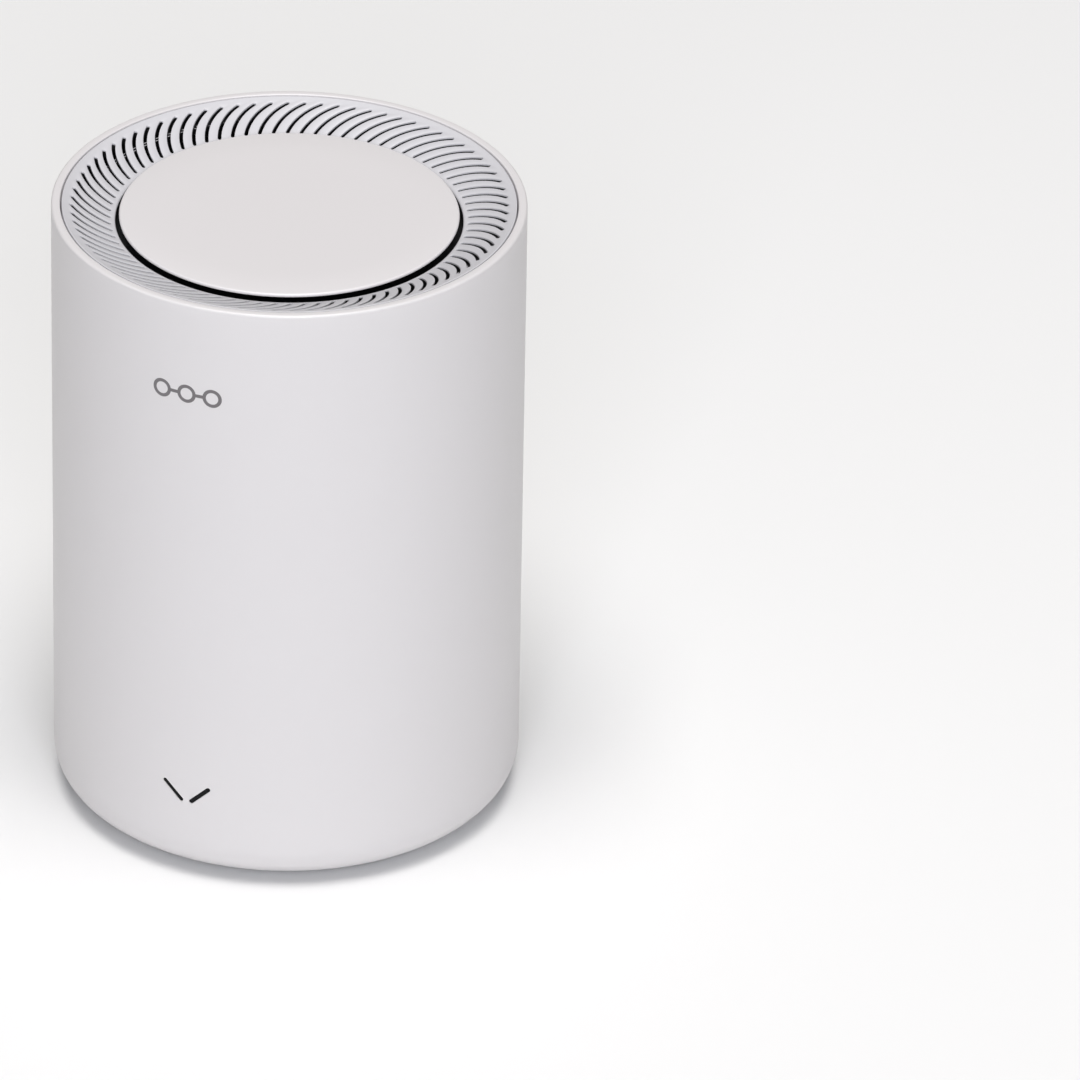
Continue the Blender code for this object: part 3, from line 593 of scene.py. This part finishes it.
def vent_sector(slot_width, slot_round, painted_shade_depth, pitch):
    """One curved slot and the ring round it: loops on the top, down the slot's wall and underneath.

    Its face layer marks the faces painted black as shade: the slot walls below a thin grey band, the lip's
    inner face, the skirt's inner face and the underside.
    """
    arc_r, centre_r, lean = 14.5, 38.656, math.radians(-17.14)
    centre = Vector((centre_r * math.cos(lean), centre_r * math.sin(lean)))
    lip_r, lip_z, seam_z, under_z = 40.2, RIM_Z - 4.5, RIM_Z - 0.2, RIM_Z - 6.45
    sides, ends = 13, 5

    def turn_at(r):
        return lean + math.acos((r * r - centre_r ** 2 - arc_r ** 2) / (2 * arc_r * centre_r))

    def top(r):
        return lip_z + (r - lip_r) * (seam_z - lip_z) / (SEAM_R - 0.25 - lip_r)

    def under(r):
        return under_z + (r - lip_r) * 4.5 / (SEAM_R - lip_r)

    def on_arc(t, radius):
        return centre + radius * Vector((math.cos(t), math.sin(t)))

    def spun(p, angle):
        return Matrix.Rotation(angle, 2) @ p

    slot_in, slot_out = 41.65, 50.3
    start, stop = turn_at(slot_in), turn_at(slot_out)
    tips = [on_arc(start, arc_r), on_arc(stop, arc_r)]

    def outline(half):
        steps = [k / (sides - 1) for k in range(sides)]
        outer = [on_arc(start + (stop - start) * s, arc_r + half) for s in steps]
        inner = [on_arc(stop + (start - stop) * s, arc_r - half) for s in steps]
        caps = []
        for tip, first in zip(reversed(tips), (stop, start + math.pi)):
            caps.append([tip + half * Vector((math.cos(t), math.sin(t)))
                         for t in (first - math.pi * k / (ends + 1) for k in range(1, ends + 1))])
        return outer + caps[0] + inner + caps[1]

    inner_end, outer_end = 40.8, 51.35
    first, last = turn_at(inner_end), turn_at(outer_end)
    side = [on_arc(first + (last - first) * k / (sides - 1), arc_r) for k in range(sides)]
    plus = [spun(p, pitch / 2) for p in side]
    minus = [spun(p, -pitch / 2) for p in reversed(side)]

    def end_line(a, b, radius):
        """Points between two boundary corners at one distance from the axis, both corners included."""
        t0, t1 = math.atan2(a.y, a.x), math.atan2(b.y, b.x)
        return [radius * Vector((math.cos(t), math.sin(t)))
                for t in (t0 + (t1 - t0) * k / (ends + 1) for k in range(ends + 2))]

    border = plus + end_line(plus[-1], minus[0], outer_end)[1:-1] + minus
    border += end_line(minus[-1], plus[0], inner_end)[1:-1]
    half = slot_width / 2
    loops = [[(p.x, p.y, top(p.length)) for p in border]]
    for grow, drop in ((slot_round, 0.0), (0.3 * slot_round, 0.3 * slot_round), (0.0, slot_round)):
        loops.append([(p.x, p.y, top(p.length) - drop) for p in outline(half + grow)])
    loops.append([(p.x, p.y, top(p.length) - painted_shade_depth) for p in outline(half)])
    loops += [[(p.x, p.y, under(p.length)) for p in ps] for ps in (outline(half), border)]
    bm = bmesh.new()
    painted_shade = bm.faces.layers.int.new("painted_shade")
    skin(bm, loops)
    bm.faces.ensure_lookup_table()
    # The slot walls below the thin grey band, and the underside, are painted black as shade.
    for face in bm.faces[4 * len(border):]:
        face[painted_shade] = 1
    edge = SEAM_R - 0.25
    lip_rows = [(inner_end, top(inner_end)), (40.5, top(40.5)), (40.28, top(40.28) - 0.08),
                (lip_r, top(lip_r) - 0.35), (lip_r, under(lip_r)), (inner_end, under(inner_end))]
    skirt = SEAM_R - 1.1
    seam_rows = [(outer_end, top(outer_end)), (52.0, top(52.0)), (edge, top(edge)),
                 (SEAM_R - 0.07, top(edge) - 0.07), (SEAM_R, top(edge) - 0.3), (SEAM_R, 144.5),
                 (skirt, 144.5), (skirt, under(skirt)), (outer_end, under(outer_end))]
    # The lip's inner face, the skirt's inner face and the underside are painted black as shade.
    for rows, ends_at in ((lip_rows, (minus[-1], plus[0])), (seam_rows, (plus[-1], minus[0]))):
        strips = [[bm.verts.new((p.x * MM, p.y * MM, z * MM)) for p in end_line(*ends_at, r)]
                  for r, z in rows]
        for i, (a, b) in enumerate(zip(strips, strips[1:])):
            for k in range(len(a) - 1):
                bm.faces.new((a[k], a[k + 1], b[k + 1], b[k]))[painted_shade] = int(i >= len(rows) - 3)
    return bm


class WIFINODE_OT_vent_ring(bpy.types.Operator):
    """Repeats one curved slot round the grey vent ring and ties the slats with a rib underneath."""
    bl_idname = "wifinode.vent_ring"
    bl_label = "Vent ring"

    def execute(self, context):
        sizes, grey = context.scene.wifi_node_sizes, finish_for("grey_abs")
        count = sizes.slot_count
        bm = vent_sector(sizes.slot_width / MM, sizes.slot_round / MM, sizes.skin / MM, 2 * math.pi / count)
        ring = add_object("vent_ring", bm)
        ring.data.materials.append(grey)
        repeat(ring, count, grey, turn=360.0 / count, weld=2e-6)
        bm = bmesh.new()
        bm.from_mesh(ring.data)
        bmesh.ops.recalc_face_normals(bm, faces=bm.faces)
        if any(not edge.is_manifold for edge in bm.edges):
            raise RuntimeError("the vent ring's copies did not close")
        painted_shade, slats = bm.faces.layers.int["painted_shade"], set(bm.faces)
        rib_in, rib_out, edge, crest, trough, under = 47.4, 48.5, 0.2, 149.0, 148.3, 147.4
        lathe(bm, [(rib_in, crest), (rib_in + edge, crest), (rib_in + edge, trough),
                   (rib_out - edge, trough), (rib_out - edge, crest), (rib_out, crest), (rib_out, under),
                   (rib_in, under)], 160)
        bmesh.ops.recalc_face_normals(bm, faces=bm.faces)
        # The rib's trough, sides and underside are painted black as shade, so only its two crests stay
        # grey.
        for face in set(bm.faces) - slats:
            face[painted_shade] = int(face.calc_center_median().z < (crest - 0.01) * MM)
        for face in bm.faces:
            face.material_index = face[painted_shade]
        bm.faces.layers.int.remove(painted_shade)
        bm.to_mesh(ring.data)
        bm.free()
        # The second material, black ABS, is the painted shade on the marked faces of the ring and rib.
        ring.data.materials.append(finish_for("black_abs"))
        settle(ring, "grey_abs", ["top_grille"], smooth=40.0)
        return {"FINISHED"}


class WIFINODE_OT_centre_disc(bpy.types.Operator):
    """Turns the white centre disc with its rounded edge and tapered underside."""
    bl_idname = "wifinode.centre_disc"
    bl_label = "Centre disc"

    def execute(self, context):
        sizes = context.scene.wifi_node_sizes
        radius, top = reach_of("top_disc"), top_of("top_disc")
        low = top - 1.8
        corners = [(0.0, top, 0.0), (14.0, top, 0.0), (30.0, top, 0.0),
                   (radius, top, sizes.disc_round / MM), (radius - 0.1, top - 0.75, 0.1),
                   (radius - 3.0, low, 0.3), (0.0, low, 0.0)]
        disc = turned("centre_disc", rounded(corners), sizes.facets)
        settle(disc, "white_abs", ["top_disc"])
        return {"FINISHED"}


class WIFINODE_OT_indicator(bpy.types.Operator):
    """Makes the smoked light guide: a plate behind the wall and two blades in the slots."""
    bl_idname = "wifinode.indicator"
    bl_label = "Indicator windows"

    def execute(self, context):
        sizes = context.scene.wifi_node_sizes
        bm = bmesh.new()
        outline = window(8.0, 17.0, 29.0, 1.0, long=6)
        skin(bm, [[(x, y, z) for x, z in outline] for y in (-51.8, -50.6)], caps=True)
        half, face = sizes.light_width / MM / 2 - 0.03, BODY_R - 0.1
        for side in (-1, 1):
            loops = [[(x, -51.5, z) for x, z in light_stroke(side, half)]]
            for inset, back in ((0.0, 0.08), (0.03, 0.03), (0.08, 0.0)):
                loops.append([(x, back - front_y(x, face), z) for x, z in light_stroke(side, half - inset)])
            skin(bm, loops, caps=True)
        settle(add_object("indicator_lens", bm), "smoked_lens", ["light_guide"])
        return {"FINISHED"}


class WIFINODE_OT_rear_panel(bpy.types.Operator):
    """Makes the recessed connector panel: a collar that follows the shell and a pierced back plate."""
    bl_idname = "wifinode.rear_panel"
    bl_label = "Rear panel"

    def execute(self, context):
        low, high = (value.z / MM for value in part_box("rear_io_panel"))
        face, wall = BODY_R - 0.4, 1.6
        outer, inner = (window(PANEL_HALF, low, high, 1.7, inset) for inset in (0.0, wall))
        loops = [[(x, PANEL_BACK, z) for x, z in outer]]
        for inset, back in ((0.0, 0.35), (0.1, 0.1), (0.35, 0.0), (1.2, 0.0), (1.48, 0.1), (wall, 0.4)):
            points = window(PANEL_HALF, low, high, 1.7, inset)
            loops.append([(x, front_y(x, face) - back, z) for x, z in points])
        loops.append([(x, PANEL_BACK, z) for x, z in inner])
        panel = lofted("rear_panel", loops, wrap=True)
        plate = block("plate", PANEL_HALF - wall + 0.2, low + wall - 0.2, high - wall + 0.2,
                      (PANEL_BACK + 0.05, PANEL_FACE), radius=0.5)
        gap, through = 0.3, (40.0, 48.0)
        for node, half, tall, radius in (("wan_jack", JACK_HALF, JACK_TALL, 0.6),
                                         ("lan_jack", JACK_HALF, JACK_TALL, 0.6),
                                         ("dc_power_jack", POWER_HALF, POWER_TALL, 0.8)):
            carve(plate, block("port_tool", half + gap, PORT_Z - tall - gap, PORT_Z + tall + gap, through,
                               radius=radius, x=middle_x(node)))
        for node, radius in (("pair_button_cap", 2.7), ("reset_switch_plunger", 0.8)):
            profile = [(0.0, through[0]), (radius, through[0]), (radius, PANEL_FACE - 0.25),
                       (radius + 0.5, PANEL_FACE + 0.25), (radius + 0.5, through[1]), (0.0, through[1])]
            carve(plate, turned("button_tool", profile, 48, rearward(node)))
        soften(plate, 0.12)
        bm = bmesh.new()
        bm.from_mesh(panel.data)
        bm.from_mesh(plate.data)
        bm.to_mesh(panel.data)
        bm.free()
        bpy.data.objects.remove(plate, do_unlink=True)
        settle(panel, "grey_abs", ["rear_io_panel"])
        return {"FINISHED"}


class WIFINODE_OT_network_ports(bpy.types.Operator):
    """Makes each network socket: a tinplate shield, a black core with its stepped mouth, and contacts."""
    bl_idname = "wifinode.network_ports"
    bl_label = "Network sockets"

    def execute(self, context):
        for port in ("wan", "lan"):
            node = port + "_jack"
            middle, half = middle_x(node), JACK_HALF
            low, high, front = PORT_Z - JACK_TALL, PORT_Z + JACK_TALL, PORT_FRONT
            loops = []
            for inset, y in ((0.0, PORT_BACK), (0.0, front - 0.12), (0.05, front - 0.03), (0.12, front),
                             (0.2, front), (0.28, front - 0.08), (0.28, PORT_BACK)):
                points = window(half, low, high, 0.6, inset, long=4)
                loops.append([(x + middle, y, z) for x, z in points])
            shield = lofted(port + "_shield", loops, wrap=True)
            settle(shield, "tinned_steel", [node])
            core = block(port + "_core", half - 0.3, low + 0.3, high - 0.3, (PORT_BACK + 0.1, front - 0.25),
                         x=middle)
            mouth = [(5.9, -2.6), (5.9, 4.6), (-5.9, 4.6), (-5.9, -2.6), (-3.2, -2.6), (-3.2, -4.2),
                     (-1.9, -4.2), (-1.9, -5.6), (1.9, -5.6), (1.9, -4.2), (3.2, -4.2), (3.2, -2.6)]
            bm = bmesh.new()
            skin(bm, [[(x + middle, y, z + PORT_Z) for x, z in mouth] for y in (front - 12.0, front + 2.0)])
            for ring in ([v for v in bm.verts if v.co.y < front * MM - 0.001],
                         [v for v in bm.verts if v.co.y > front * MM]):
                bm.faces.new(ring)
            carve(core, add_object("mouth_tool", bm))
            soften(core, 0.14)
            settle(core, "black_abs", [node])
            bm = bmesh.new()
            first = middle + 3.5 * 1.02
            wire(bm, [(first, front - 3.6, PORT_Z + 4.75), (first, front - 3.9, PORT_Z + 4.3),
                      (first, front - 4.6, PORT_Z + 3.9), (first, front - 10.2, PORT_Z + 1.6),
                      (first, front - 11.2, PORT_Z + 1.5), (first, front - 12.2, PORT_Z + 1.7)], 0.23)
            wires, gold = add_object(port + "_contact_wires", bm), finish_for("gold_contacts")
            wires.data.materials.append(gold)
            repeat(wires, 8, gold, step=(-1.02, 0.0, 0.0))
            settle(wires, "gold_contacts", [port + "_contacts"])
        return {"FINISHED"}


class WIFINODE_OT_power_inlet(bpy.types.Operator):
    """Makes the round power socket in its square housing, with its centre pin."""
    bl_idname = "wifinode.power_inlet"
    bl_label = "Power inlet"

    def execute(self, context):
        node, front = "dc_power_jack", PORT_FRONT
        socket = block("power_socket", POWER_HALF, PORT_Z - POWER_TALL, PORT_Z + POWER_TALL,
                       (PORT_BACK, front), radius=0.7, x=middle_x(node))
        soften(socket, 0.25)
        place = rearward(node)
        bore = [(0.0, front - 9.5), (3.15, front - 9.5), (3.15, front - 0.45), (3.3, front - 0.2),
                (3.6, front + 0.05), (3.6, front + 2.0), (0.0, front + 2.0)]
        pin_seat = [(0.0, front - 11.4), (1.3, front - 11.4), (1.3, front - 9.0), (0.0, front - 9.0)]
        for profile in (bore, pin_seat):
            carve(socket, turned("bore_tool", profile, 48, place))
        settle(socket, "black_abs", [node])
        low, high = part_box("dc_centre_pin")
        start, stop, radius = low.y / MM, high.y / MM, (high.x - low.x) / 2 / MM
        corners = [(0.0, start, 0.0), (radius, start, 0.1), (radius, stop, 0.6), (0.0, stop, 0.0)]
        pin = turned("power_pin", rounded(corners), 32, place)
        settle(pin, "tinned_steel", ["dc_centre_pin"])
        return {"FINISHED"}


class WIFINODE_OT_pair_button(bpy.types.Operator):
    """Turns the pairing button's cap, with a shallow finger dish in its face."""
    bl_idname = "wifinode.pair_button"
    bl_label = "Pairing button"

    def execute(self, context):
        low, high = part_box("pair_button_cap")
        start, stop = low.y / MM, high.y / MM
        corners = [(0.0, stop - 0.25, 0.0), (1.2, stop - 0.18, 0.0), (1.9, stop, 0.2), (2.4, stop, 0.3),
                   (2.4, start + 6.2, 0.0), (3.6, start + 6.2, 0.2), (3.6, start + 4.8, 0.2),
                   (2.0, start + 4.8, 0.0), (2.0, start, 0.2), (0.0, start, 0.0)]
        cap = turned("pairing_button", rounded(corners), 48, rearward("pair_button_cap"))
        settle(cap, "grey_abs", ["pair_button_cap"], body="pair_button")
        return {"FINISHED"}


class WIFINODE_OT_underside(bpy.types.Operator):
    """Makes the base plate with its radial vents, the ribbed foot ring and the blank label."""
    bl_idname = "wifinode.underside"
    bl_label = "Underside"

    def execute(self, context):
        sizes = context.scene.wifi_node_sizes
        top, under, rim, groove = top_of("base_cover"), 1.3, 45.6, 2.4
        corners = [(0.0, top, 0.0), (47.3, top, 0.2), (47.3, 3.8, 0.0), (rim, 3.8, 0.0), (rim, under, 0.5),
                   (41.3, under, 0.2), (41.3, groove, 0.0), (35.7, groove, 0.0), (35.7, under, 0.2),
                   (29.0, under, 0.0), (17.0, under, 0.0), (0.0, under, 0.0)]
        plate = turned("base_plate", rounded(corners), 160)
        outline, count = capsule((19.9, 0.0), (26.1, 0.0), 0.9), sizes.base_vents
        slot = lofted("vent_tool", [[(x, y, z) for x, y in outline] for z in (0.0, 6.0)], caps=True)
        carve(plate, repeat(slot, count, first=180.0 / count, turn=360.0 / count))
        profile = [(0.0, 0.0), (3.5, 0.0), (3.5, under - 0.1), (3.2, under + 0.25), (3.2, 3.0), (1.75, 3.0),
                   (1.75, 6.0), (0.0, 6.0)]
        hole = turned("screw_tool", profile, 40, Matrix.Translation((SCREW_REACH * MM, 0.0, 0.0)))
        carve(plate, repeat(hole, 4, first=45.0, turn=90.0))
        settle(plate, "grey_abs", ["base_cover"])

        low, high, inner, outer = 0.0, top_of("foot_ring"), 36.0, reach_of("foot_ring")
        corners = [(inner, high, 0.0), (outer, high, 0.0), (outer, low, 0.45)]
        for k in (2, 1, 0):
            r = inner + 1.25 + 1.25 * k
            corners += [(r + 0.3, low, 0.12), (r + 0.15, low + 0.3, 0.0), (r - 0.15, low + 0.3, 0.0),
                        (r - 0.3, low, 0.12)]
        corners.append((inner, low, 0.45))
        pad = turned("foot_pad", rounded(corners), 160)
        settle(pad, "foot_rubber", ["foot_ring"])

        low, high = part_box("rating_label")
        x, y = high.x / MM, high.y / MM
        loops = [[(px, py, z) for px, py in window(x, -y, y, 1.5, inset, long=8)]
                 for z, inset in ((1.32, 0.0), (0.86, 0.0), (0.8, 0.06))]
        label = lofted("blank_label", loops, caps=True)
        settle(label, "label_film", ["rating_label"])
        return {"FINISHED"}


class WIFINODE_OT_base_screws(bpy.types.Operator):
    """Makes one pan-head screw with a cross recess and repeats it at the base's four posts."""
    bl_idname = "wifinode.base_screws"
    bl_label = "Base screws"

    def execute(self, context):
        low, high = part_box("base_screw_front_left")
        start, stop, radius = low.z / MM, high.z / MM, 2.7
        corners = [(0.0, start, 0.0), (1.2, start, 0.0), (radius, start, 0.55), (radius, start + 1.2, 0.1),
                   (1.4, start + 1.2, 0.0), (1.4, stop - 0.8, 0.3), (0.6, stop, 0.1), (0.0, stop, 0.0)]
        screw, steel = turned("base_screws", rounded(corners), 32), finish_for("screw_steel")
        screw.data.materials.append(steel)
        loops = [[(x, y, z) for x, y in ((-long, -0.4), (long, -0.4), (long, 0.4), (-long, 0.4))]
                 for long, z in ((1.75, start - 0.5), (1.5, start + 0.1), (0.8, start + 0.95))]
        for turn in (0.0, math.pi / 2):
            tool = lofted("driver_tool", loops, caps=True)
            tool.data.transform(Matrix.Rotation(turn, 4, "Z"))
            carve(screw, tool)
        screw.data.transform(Matrix.Translation((SCREW_REACH * MM, 0.0, 0.0)))
        repeat(screw, 4, steel, first=45.0, turn=90.0)
        names = [f"base_screw_{end}_{side}" for end in ("front", "rear") for side in ("left", "right")]
        settle(screw, "screw_steel", names)
        return {"FINISHED"}


class WIFINODE_OT_inner_finishes(bpy.types.Operator):
    """Gives each inner part that is shown as it is the finish of its material slot."""
    bl_idname = "wifinode.inner_finishes"
    bl_label = "Inner finishes"

    def execute(self, context):
        slots = {part["node"]: part["material_slot"] for part in frame["record"]["subparts"]}
        for name, node in frame["nodes"].items():
            if node.hide_render:
                continue
            for place in node.material_slots:
                place.material = finish_for(slots[name])
        return {"FINISHED"}


# ---------------------------------------------------------------- stage

def direction(azimuth, elevation):
    """The way out from the node towards an azimuth and elevation in radians."""
    return Vector((math.sin(azimuth) * math.cos(elevation), -math.cos(azimuth) * math.cos(elevation),
                   math.sin(elevation)))


def soft_light(name, azimuth, elevation, away, size, power, colour):
    """A soft light that faces the node; angles are in degrees and lengths in metres."""
    lamp = bpy.data.lights.new(name, "AREA")
    lamp.shape, lamp.size, lamp.size_y = "RECTANGLE", *size
    lamp.energy, lamp.color = power, colour[:3]
    obj = bpy.data.objects.new(name, lamp)
    bpy.context.scene.collection.objects.link(obj)
    out = direction(math.radians(azimuth), math.radians(elevation))
    obj.location = Vector((0.0, 0.0, RIM_Z * MM / 2)) + out * away
    obj.rotation_mode = "QUATERNION"
    obj.rotation_quaternion = (-out).to_track_quat("-Z", "Y")


class WIFINODE_OT_stage(bpy.types.Operator):
    """Sets out the pale floor, the two soft lights, the dim room round them and the camera."""
    bl_idname = "wifinode.stage"
    bl_label = "Stage"

    def execute(self, context):
        scene, stage = context.scene, context.scene.wifi_node_stage
        scene.view_settings.view_transform = "Standard"
        # Painted board, sprayed matt: even off-white with next to no sheen.
        paint = surface("matt_painted_board", stage.floor, 0.9, 1.5, 0.01, tint=0.004, drift=300.0,
                        **{"Specular IOR Level": 0.1})
        profile = [(0.0, 0.0), (500.0, 0.0), (2000.0, 0.0), (7000.0, 0.0), (7000.0, -10.0), (0.0, -10.0)]
        floor = turned("floor", profile, 96)
        floor.data.materials.append(paint)
        soft_light("key_light", 26.0, 27.0, 4.0, (2.0, 1.6), stage.key, srgb("F6F9FF"))
        soft_light("top_light", 25.0, 82.0, 3.6, (2.0, 2.0), stage.top, srgb("FFFDFB"))
        world = bpy.data.worlds.new("soft_room")
        world.use_nodes = True
        tree = world.node_tree
        tree.nodes.clear()
        way = add(tree, "ShaderNodeTexCoord").outputs["Generated"]
        up = add(tree, "ShaderNodeSeparateXYZ", inputs={0: way}).outputs["Z"]
        glow = add(tree, "ShaderNodeMapRange", {"interpolation_type": "SMOOTHSTEP"},
                   {0: up, 1: 0.02, 2: 0.4, 3: stage.sky_low, 4: stage.sky_high}).outputs[0]
        light = add(tree, "ShaderNodeBackground",
                    inputs={"Color": srgb("FDFDFF"), "Strength": glow}).outputs[0]
        add(tree, "ShaderNodeOutputWorld", inputs={"Surface": light})
        scene.world = world

        eye = bpy.data.cameras.new("camera")
        eye.sensor_width, eye.lens, eye.clip_end = 36.0, 383.45, 100.0
        camera = bpy.data.objects.new("camera", eye)
        scene.collection.objects.link(camera)
        back = direction(stage.azimuth, stage.elevation)
        right = Vector((0.0, 0.0, 1.0)).cross(back).normalized()
        look = Matrix((right, back.cross(right), -back))
        # The camera looks a little past the rim's middle and is rolled by a third of a degree.
        aside = Vector((-0.02178, 0.02944, 1.0)).normalized()
        turn = Vector((0.0, 0.0, 1.0)).rotation_difference(aside).to_matrix()
        rows = turn @ Matrix.Rotation(-0.006, 3, "Z") @ look
        pose = Matrix((rows[0], rows[1], -rows[2])).transposed().to_4x4()
        pose.translation = Vector((0.0, 0.0, RIM_Z * MM)) + back * stage.distance
        camera.matrix_world = pose
        scene.camera = camera
        return {"FINISHED"}


OPERATORS = (WIFINODE_OT_shell, WIFINODE_OT_vent_ring, WIFINODE_OT_centre_disc, WIFINODE_OT_indicator,
             WIFINODE_OT_rear_panel, WIFINODE_OT_network_ports, WIFINODE_OT_power_inlet,
             WIFINODE_OT_pair_button, WIFINODE_OT_underside, WIFINODE_OT_base_screws,
             WIFINODE_OT_inner_finishes, WIFINODE_OT_stage)


class WIFINODE_PT_panel(bpy.types.Panel):
    """Lists the steps that build the node, with its sizes and colours."""
    bl_idname = "WIFINODE_PT_panel"
    bl_label = "Wifi node"
    bl_space_type = "VIEW_3D"
    bl_region_type = "UI"
    bl_category = "Wifi node"

    def draw(self, context):
        for group in ("wifi_node_sizes", "wifi_node_colours", "wifi_node_stage"):
            box, values = self.layout.box(), getattr(context.scene, group)
            for name in values.__annotations__:
                box.prop(values, name)
        for operator in OPERATORS:
            self.layout.operator(operator.bl_idname)


GROUPS = {"wifi_node_sizes": WifiNodeSizes, "wifi_node_colours": WifiNodeColours,
          "wifi_node_stage": WifiNodeStage}


def register():
    for made in (*GROUPS.values(), *OPERATORS, WIFINODE_PT_panel):
        bpy.utils.register_class(made)
    for name, group in GROUPS.items():
        setattr(bpy.types.Scene, name, bpy.props.PointerProperty(type=group))


def unregister():
    for name in GROUPS:
        delattr(bpy.types.Scene, name)
    for made in reversed((*GROUPS.values(), *OPERATORS, WIFINODE_PT_panel)):
        bpy.utils.unregister_class(made)


def main():
    register()
    for operator in OPERATORS:
        family, name = operator.bl_idname.split(".")
        getattr(getattr(bpy.ops, family), name)()


if __name__ == "__main__":
    main()
